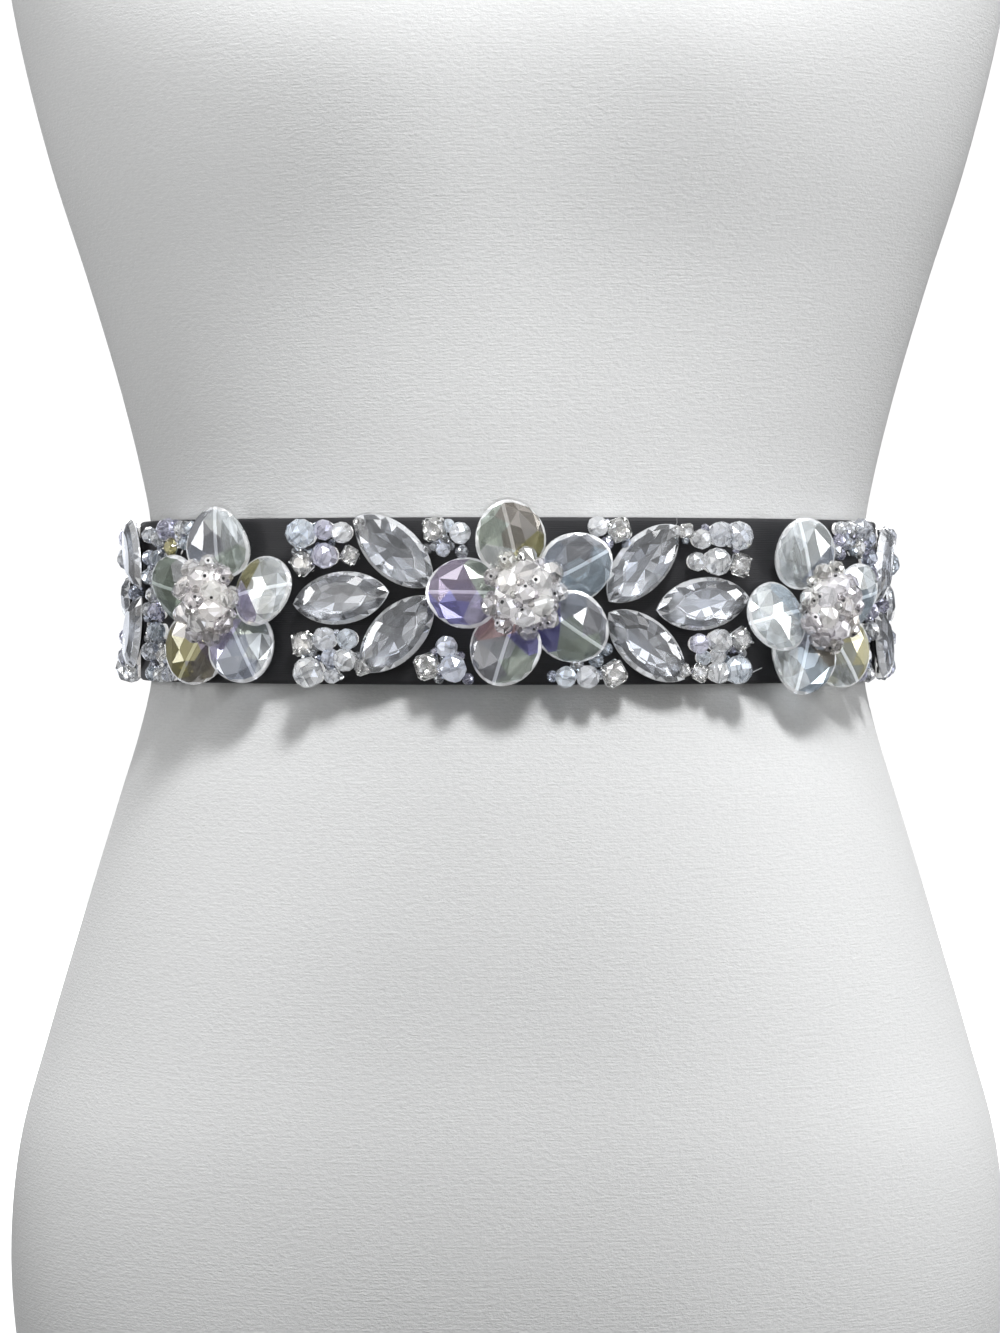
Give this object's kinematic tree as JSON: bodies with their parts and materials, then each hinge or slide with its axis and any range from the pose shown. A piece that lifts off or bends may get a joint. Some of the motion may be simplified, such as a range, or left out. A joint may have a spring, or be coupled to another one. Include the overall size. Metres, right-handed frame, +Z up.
{
  "type": "bridal sash on a dress form",
  "caption": "Black satin waist sash with sewn-on crystal flowers, pointed-oval stones and bead clusters, worn on a limbless white dress form.",
  "frame": {"origin": "middle of the dress form's flat underside, which is the bottom centre of the whole part", "axes": "+Z up; the front of the sash and form faces -Y; +X is to the right as seen from the front, which is the wearer's left"},
  "size_m": [0.3372, 0.242, 0.7],
  "materials": {
    "form_jersey": "matt white knitted cover over a rigid form",
    "band_satin": "black satin with a low sheen",
    "petal_crystal": "clear faceted glass with a faint rainbow coating",
    "clear_crystal": "clear faceted glass beads",
    "bead_crystal": "pale blue faceted glass beads, and clear stones in silver settings",
    "foiled_crystal": "clear faceted glass with a silver foil back"
  },
  "bodies": {
    "root": {"cluster_centre_left_bottom_corner": "bead_crystal", "cluster_centre_left_bottom_inner": "bead_crystal", "cluster_centre_left_top_corner": "bead_crystal", "cluster_centre_left_top_inner": "bead_crystal", "cluster_centre_right_bottom_corner": "bead_crystal", "cluster_centre_right_bottom_inner": "bead_crystal", "cluster_centre_right_top_corner": "bead_crystal", "cluster_centre_right_top_inner": "bead_crystal", "cluster_left_left_bottom_corner": "bead_crystal", "cluster_left_left_bottom_inner": "bead_crystal", "cluster_left_left_top_corner": "bead_crystal", "cluster_left_left_top_inner": "bead_crystal", "cluster_right_right_bottom_corner": "bead_crystal", "cluster_right_right_bottom_inner": "bead_crystal", "cluster_right_right_top_corner": "bead_crystal", "cluster_right_right_top_inner": "bead_crystal", "dress_form": "form_jersey", "heart_centre": "clear_crystal", "heart_left": "clear_crystal", "heart_right": "clear_crystal", "navette_centre_left_lower": "foiled_crystal", "navette_centre_left_middle": "foiled_crystal", "navette_centre_left_upper": "foiled_crystal", "navette_centre_right_lower": "foiled_crystal", "navette_centre_right_middle": "foiled_crystal", "navette_centre_right_upper": "foiled_crystal", "navette_left_left_lower": "foiled_crystal", "navette_left_left_middle": "foiled_crystal", "navette_left_left_upper": "foiled_crystal", "navette_right_right_lower": "foiled_crystal", "navette_right_right_middle": "foiled_crystal", "navette_right_right_upper": "foiled_crystal", "petal_centre_1": "petal_crystal", "petal_centre_2": "petal_crystal", "petal_centre_3": "petal_crystal", "petal_centre_4": "petal_crystal", "petal_centre_5": "petal_crystal", "petal_left_1": "petal_crystal", "petal_left_2": "petal_crystal", "petal_left_3": "petal_crystal", "petal_left_4": "petal_crystal", "petal_left_5": "petal_crystal", "petal_right_1": "petal_crystal", "petal_right_2": "petal_crystal", "petal_right_3": "petal_crystal", "petal_right_4": "petal_crystal", "petal_right_5": "petal_crystal", "sash_band": "band_satin"}
  },
  "joints": []
}
